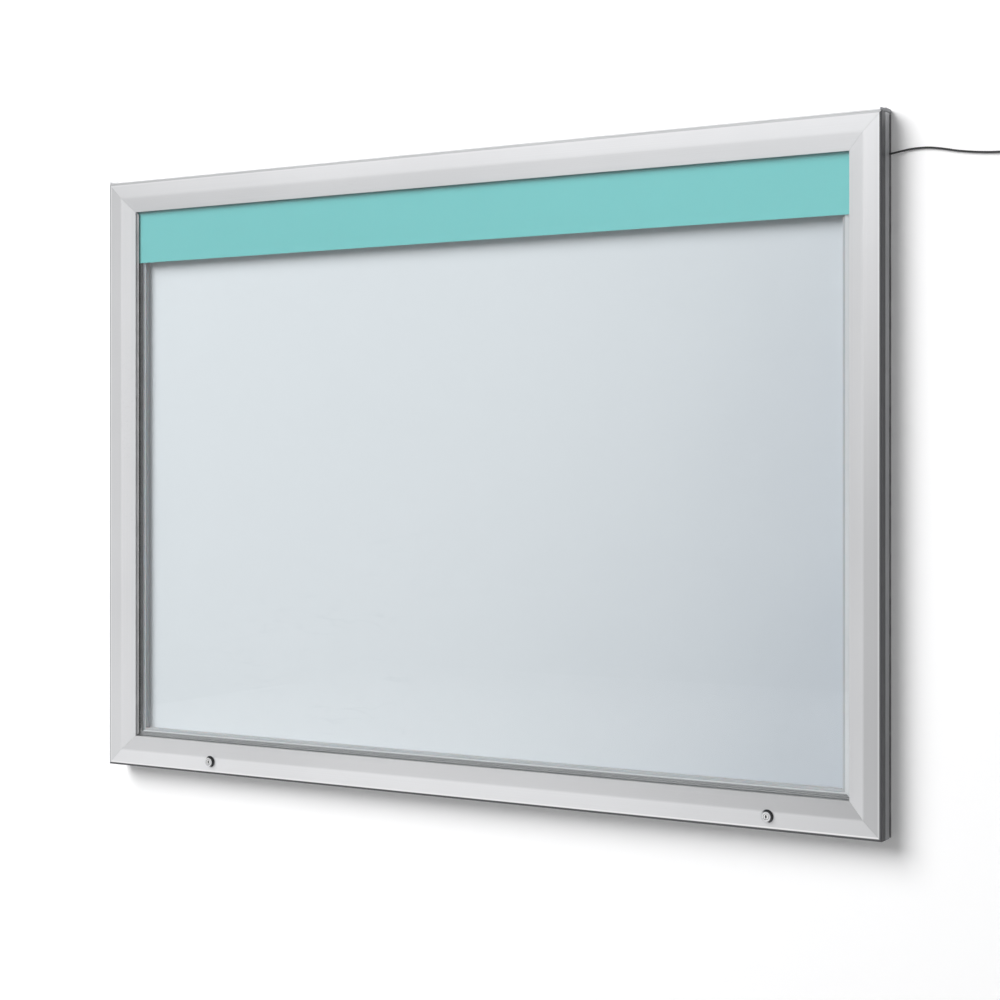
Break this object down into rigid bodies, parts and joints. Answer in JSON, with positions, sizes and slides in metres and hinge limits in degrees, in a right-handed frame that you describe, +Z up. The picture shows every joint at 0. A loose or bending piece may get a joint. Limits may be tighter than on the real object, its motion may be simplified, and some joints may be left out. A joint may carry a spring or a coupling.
{
  "type": "illuminated notice case",
  "caption": "Wall-mounted landscape notice case with a mitred aluminium door hinged along its top edge, clear glazing, header strip, lit reveal and cam locks.",
  "frame": {"origin": "centre of the case's back, on the wall's face", "axes": "+X to the right seen from the front, +Y into the wall, +Z up"},
  "size_m": [1.6949, 0.0482, 1.0563],
  "materials": {
    "satin_aluminium": "satin anodised",
    "case_aluminium": "satin anodised",
    "hinge_dark": "moulded",
    "clear_glazing": "clear",
    "header_teal": "plain satin print",
    "panel_white": "satin enamel",
    "backing_grey": "matt board",
    "seal_black": "matt",
    "opal_diffuser": "opal",
    "light_board": "white solder mask",
    "zinc_steel": "zinc plated",
    "lock_chrome": "polished",
    "nylon_black": "moulded",
    "lead_black": "satin sheath"
  },
  "bodies": {
    "case": {"case_rail_top": "case_aluminium", "case_rail_bottom": "case_aluminium", "case_rail_left": "case_aluminium", "case_rail_right": "case_aluminium", "case_corner_plate_lower_left": "zinc_steel", "case_corner_plate_lower_right": "zinc_steel", "case_corner_plate_upper_left": "zinc_steel", "case_corner_plate_upper_right": "zinc_steel", "back_panel": "panel_white", "backing_board": "backing_grey", "door_seal": "seal_black", "diffuser_top": "opal_diffuser", "diffuser_bottom": "opal_diffuser", "diffuser_left": "opal_diffuser", "diffuser_right": "opal_diffuser", "light_board_top": "light_board", "light_board_bottom": "light_board", "light_board_left": "light_board", "light_board_right": "light_board", "hinge_leaf_case": "case_aluminium", "hinge_cap_left": "hinge_dark", "hinge_cap_right": "hinge_dark", "lock_keeper_left": "zinc_steel", "lock_keeper_right": "zinc_steel", "stay_track_left": "zinc_steel", "stay_track_right": "zinc_steel", "lead_grommet": "nylon_black", "inner_lead": "lead_black", "lead_run": "lead_black", "lead_coil": "lead_black", "coil_tie": "nylon_black", "lead_hook": "nylon_black", "lead_connector": "lead_black"},
    "door": {"door_rail_top": "satin_aluminium", "door_rail_bottom": "satin_aluminium", "door_rail_left": "satin_aluminium", "door_rail_right": "satin_aluminium", "door_corner_key_lower_left": "zinc_steel", "door_corner_key_lower_right": "zinc_steel", "door_corner_key_upper_left": "zinc_steel", "door_corner_key_upper_right": "zinc_steel", "glazing": "clear_glazing", "glazing_bead_top": "satin_aluminium", "glazing_bead_bottom": "satin_aluminium", "glazing_bead_left": "satin_aluminium", "glazing_bead_right": "satin_aluminium", "header_panel": "header_teal", "hinge_leaf_door": "satin_aluminium", "lock_body_left": "lock_chrome", "lock_body_right": "lock_chrome", "stay_bracket_left": "zinc_steel", "stay_bracket_right": "zinc_steel"},
    "lock_left": {"lock_plug_left": "lock_chrome", "lock_cam_left": "zinc_steel"},
    "lock_right": {"lock_plug_right": "lock_chrome", "lock_cam_right": "zinc_steel"},
    "stay_left": {"stay_arm_left": "zinc_steel"},
    "stay_right": {"stay_arm_right": "zinc_steel"},
    "shoe_left": {"stay_shoe_left": "nylon_black"},
    "shoe_right": {"stay_shoe_right": "nylon_black"}
  },
  "joints": [
    {"name": "door_hinge", "type": "hinge", "parent": "case", "child": "door", "pos_m": [0, -0.0215, 0.5266], "axis": [-1, 0, 0], "range_deg": [0, 70]},
    {"name": "lock_left_turn", "type": "hinge", "parent": "door", "child": "lock_left", "pos_m": [-0.4965, -0.042, -0.5035], "axis": [0, -1, 0], "range_deg": [0, 90]},
    {"name": "lock_right_turn", "type": "hinge", "parent": "door", "child": "lock_right", "pos_m": [0.5537, -0.042, -0.5035], "axis": [0, 1, 0], "range_deg": [0, 90]},
    {"name": "stay_left_fold", "type": "hinge", "parent": "door", "child": "stay_left", "pos_m": [-0.7205, -0.0215, 0.3266], "axis": [1, 0, 0], "range_deg": [0, 140]},
    {"name": "stay_right_fold", "type": "hinge", "parent": "door", "child": "stay_right", "pos_m": [0.7205, -0.0215, 0.3266], "axis": [1, 0, 0], "range_deg": [0, 140]},
    {"name": "shoe_left_turn", "type": "hinge", "parent": "stay_left", "child": "shoe_left", "pos_m": [-0.7205, -0.0215, 0.1266], "axis": [-1, 0, 0], "range_deg": [0, 70]},
    {"name": "shoe_right_turn", "type": "hinge", "parent": "stay_right", "child": "shoe_right", "pos_m": [0.7205, -0.0215, 0.1266], "axis": [-1, 0, 0], "range_deg": [0, 70]}
  ],
  "couplings": [
    {"joint": "stay_left_fold", "follows": "door_hinge", "ratio": 2},
    {"joint": "stay_right_fold", "follows": "door_hinge", "ratio": 2},
    {"joint": "shoe_left_turn", "follows": "door_hinge", "ratio": 1},
    {"joint": "shoe_right_turn", "follows": "door_hinge", "ratio": 1}
  ]
}
